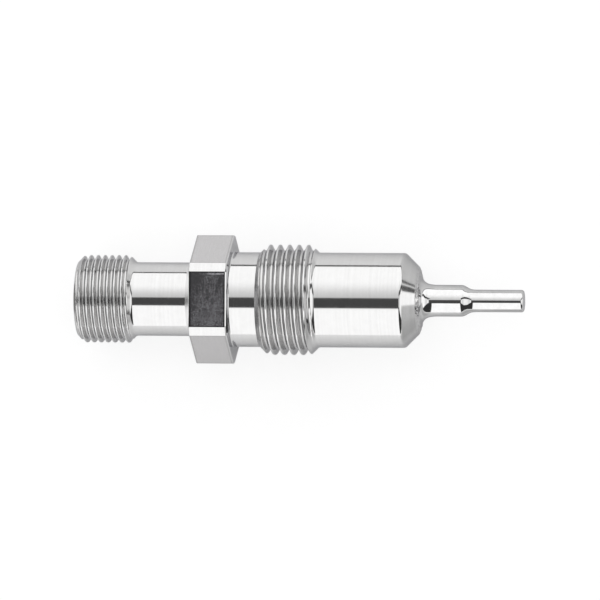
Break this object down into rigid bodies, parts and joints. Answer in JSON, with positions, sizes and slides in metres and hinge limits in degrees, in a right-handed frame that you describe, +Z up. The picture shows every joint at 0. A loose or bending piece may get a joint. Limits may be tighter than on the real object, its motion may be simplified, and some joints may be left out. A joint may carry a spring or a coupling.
{
  "type": "screw-in temperature sensor",
  "caption": "Screw-in temperature sensor: polished steel body with hexagon, process thread, sealing cone, slim drawn-down probe and a threaded tail with a contact socket.",
  "frame": {"origin": "on the sensor's axis, in the middle of the process thread", "axes": "+X along the axis towards the probe's tip, +Z up with one flat of the hexagon facing down, as the sensor lies on a bench"},
  "size_m": [0.0853, 0.0244, 0.022],
  "materials": {
    "body_steel": "bright turned and polished stainless steel, milled hexagon flats",
    "weld_steel": "fused steel, fine uneven ripple",
    "sheath_steel": "drawn and polished stainless tube",
    "element_ceramic": "fired white ceramic with a glazed film",
    "lead_metal": "drawn bright lead",
    "crimp_metal": "pressed sleeve",
    "insulator_ceramic": "fired ceramic, matt",
    "wire_metal": "drawn nickel-plated wire",
    "mineral_powder": "packed powder",
    "potting_resin": "cast resin",
    "carrier_plastic": "moulded, fine spark texture",
    "contact_plating": "plated, polished",
    "seal_rubber": "moulded seal",
    "ring_steel": "spring steel, oiled"
  },
  "bodies": {
    "root": {"sensor_body": "body_steel", "nose_weld": "weld_steel", "probe_sheath": "sheath_steel", "sensing_element": "element_ceramic", "element_lead_a": "lead_metal", "element_lead_b": "lead_metal", "crimp_sleeve_a": "crimp_metal", "crimp_sleeve_b": "crimp_metal", "bore_insulator": "insulator_ceramic", "lead_wire_1": "wire_metal", "lead_wire_2": "wire_metal", "lead_wire_3": "wire_metal", "lead_wire_4": "wire_metal", "mineral_filling": "mineral_powder", "potting_fill": "potting_resin", "contact_carrier": "carrier_plastic", "contact_pin_1": "contact_plating", "contact_pin_2": "contact_plating", "contact_pin_3": "contact_plating", "contact_pin_4": "contact_plating", "carrier_seal": "seal_rubber", "retaining_ring": "ring_steel"}
  },
  "joints": []
}
